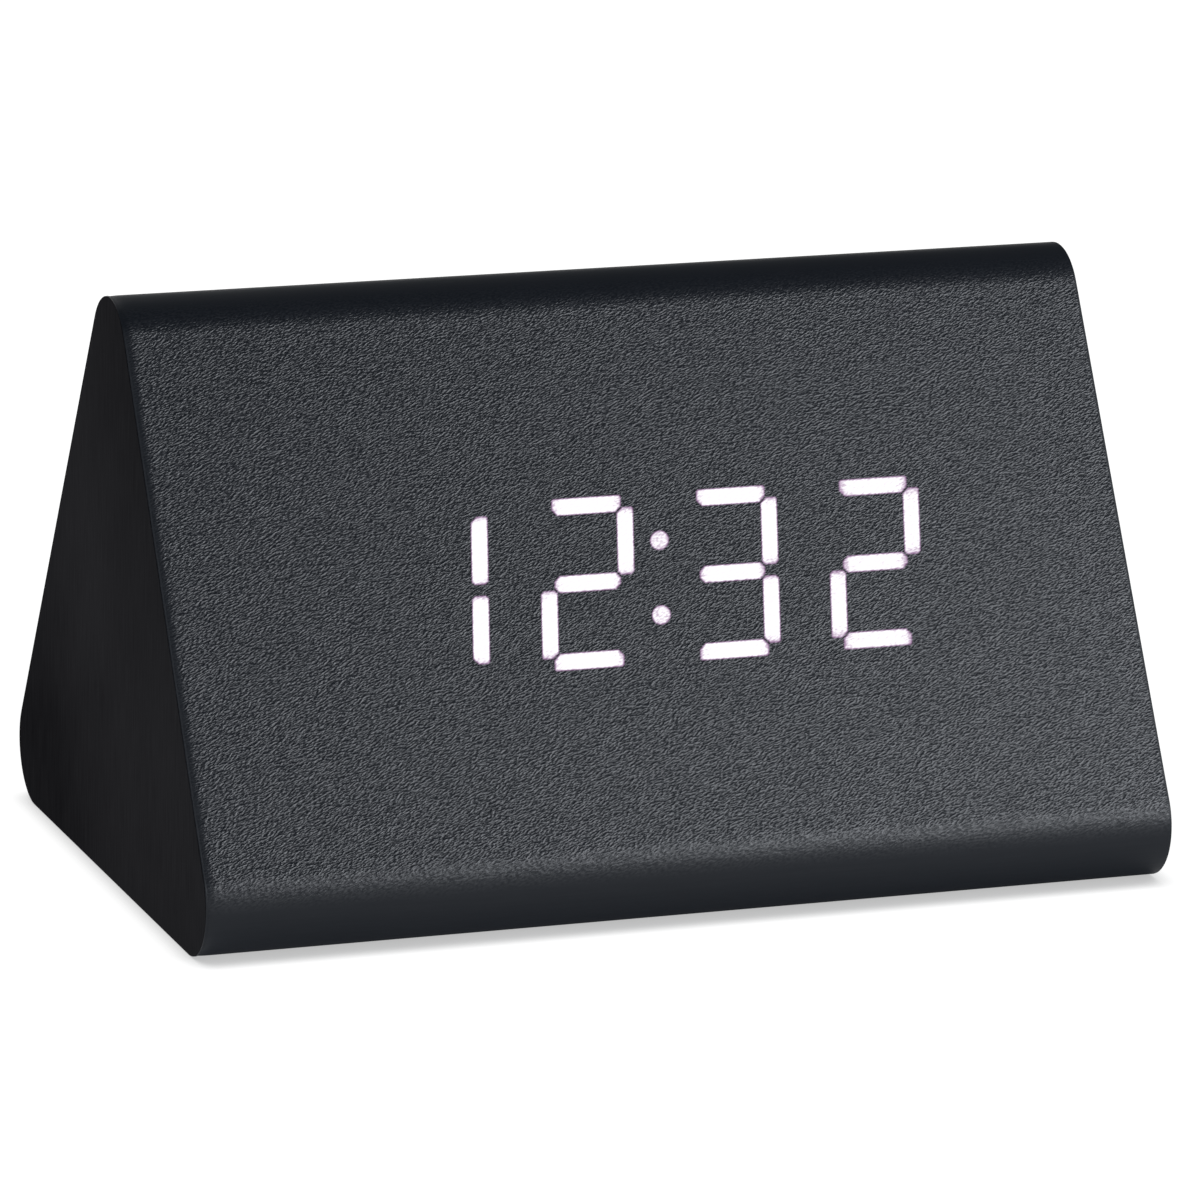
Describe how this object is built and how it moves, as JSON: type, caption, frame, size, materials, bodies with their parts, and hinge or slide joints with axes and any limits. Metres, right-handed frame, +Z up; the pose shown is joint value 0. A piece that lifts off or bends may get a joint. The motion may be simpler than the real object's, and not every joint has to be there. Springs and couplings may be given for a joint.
{
  "type": "wedge alarm clock",
  "caption": "Three-sided desk alarm clock in wrapped wood, with lit numerals in its sloping front, buttons and a power inlet behind and a battery door in its base.",
  "frame": {"origin": "middle of the base, on the surface that the clock stands on", "axes": "+X to the right of someone facing the clock, along the long edges; the sloping front faces -Y and up; +Z up"},
  "size_m": [0.12, 0.08, 0.0705],
  "materials": {
    "black_film": "embossed pebble grain, satin",
    "black_film_end": "fine brushed streaks, satin",
    "mdf": "sawn fibreboard",
    "lit_film": "film lit from behind",
    "white_moulding": "moulded, matt",
    "diffuser": "frosted",
    "led": "cast resin",
    "circuit_board": "solder mask",
    "nylon": "moulded",
    "screw_steel": "zinc plated",
    "chip_epoxy": "moulded epoxy",
    "nickel": "nickel plated",
    "black_moulding": "moulded, fine spark texture",
    "button_plastic": "moulded, satin",
    "ribbon_pvc": "extruded",
    "gold_contact": "gold flash",
    "glass_bead": "dipped epoxy bead",
    "cell_sleeve": "printed sleeve, plain",
    "red_pvc": "extruded",
    "black_pvc": "extruded"
  },
  "bodies": {
    "case": {"case_shell": "mdf", "left_end_panel": "mdf", "right_end_panel": "mdf", "wrap_film": "black_film", "left_end_film": "black_film_end", "right_end_film": "black_film_end", "lit_segments": "lit_film", "segment_diffusers": "diffuser", "light_box": "white_moulding", "segment_leds": "led", "display_board": "circuit_board", "display_spacers": "nylon", "display_screws": "screw_steel", "controller_chip": "chip_epoxy", "digit_transistors": "chip_epoxy", "segment_resistors": "chip_epoxy", "watch_crystal": "nickel", "buzzer": "black_moulding", "microphone": "nickel", "coin_holder": "black_moulding", "backup_cell": "nickel", "display_connector": "white_moulding", "ribbon_cable": "ribbon_pvc", "rear_connector": "white_moulding", "rear_board": "circuit_board", "rear_spacers": "nylon", "rear_screws": "screw_steel", "set_switch": "black_moulding", "up_switch": "black_moulding", "down_switch": "black_moulding", "socket_shell": "nickel", "socket_tongue": "black_moulding", "socket_contacts": "gold_contact", "thermistor": "glass_bead", "battery_tray": "black_moulding", "tray_screws": "screw_steel", "battery_cell_1": "cell_sleeve", "battery_cell_2": "cell_sleeve", "battery_cell_3": "cell_sleeve", "battery_cell_4": "cell_sleeve", "contact_springs": "nickel", "bridge_plates": "nickel", "positive_terminal": "nickel", "negative_terminal": "nickel", "positive_lead": "red_pvc", "negative_lead": "black_pvc"},
    "set_key": {"set_button": "button_plastic", "set_plunger": "nylon"},
    "up_key": {"up_button": "button_plastic", "up_plunger": "nylon"},
    "down_key": {"down_button": "button_plastic", "down_plunger": "nylon"},
    "door": {"battery_door": "black_moulding"}
  },
  "joints": [
    {"name": "set_button_press", "type": "slide", "parent": "case", "child": "set_key", "axis": [0, -0.8635, -0.5043], "range_m": [0, 0.0005], "stiffness_N_per_m": 1600},
    {"name": "up_button_press", "type": "slide", "parent": "case", "child": "up_key", "axis": [0, -0.8635, -0.5043], "range_m": [0, 0.0005], "stiffness_N_per_m": 1600},
    {"name": "down_button_press", "type": "slide", "parent": "case", "child": "down_key", "axis": [0, -0.8635, -0.5043], "range_m": [0, 0.0005], "stiffness_N_per_m": 1600},
    {"name": "battery_door_hinge", "type": "hinge", "parent": "case", "child": "door", "pos_m": [0, 0.0246, 0.0015], "axis": [1, 0, 0], "range_deg": [0, 90]}
  ]
}
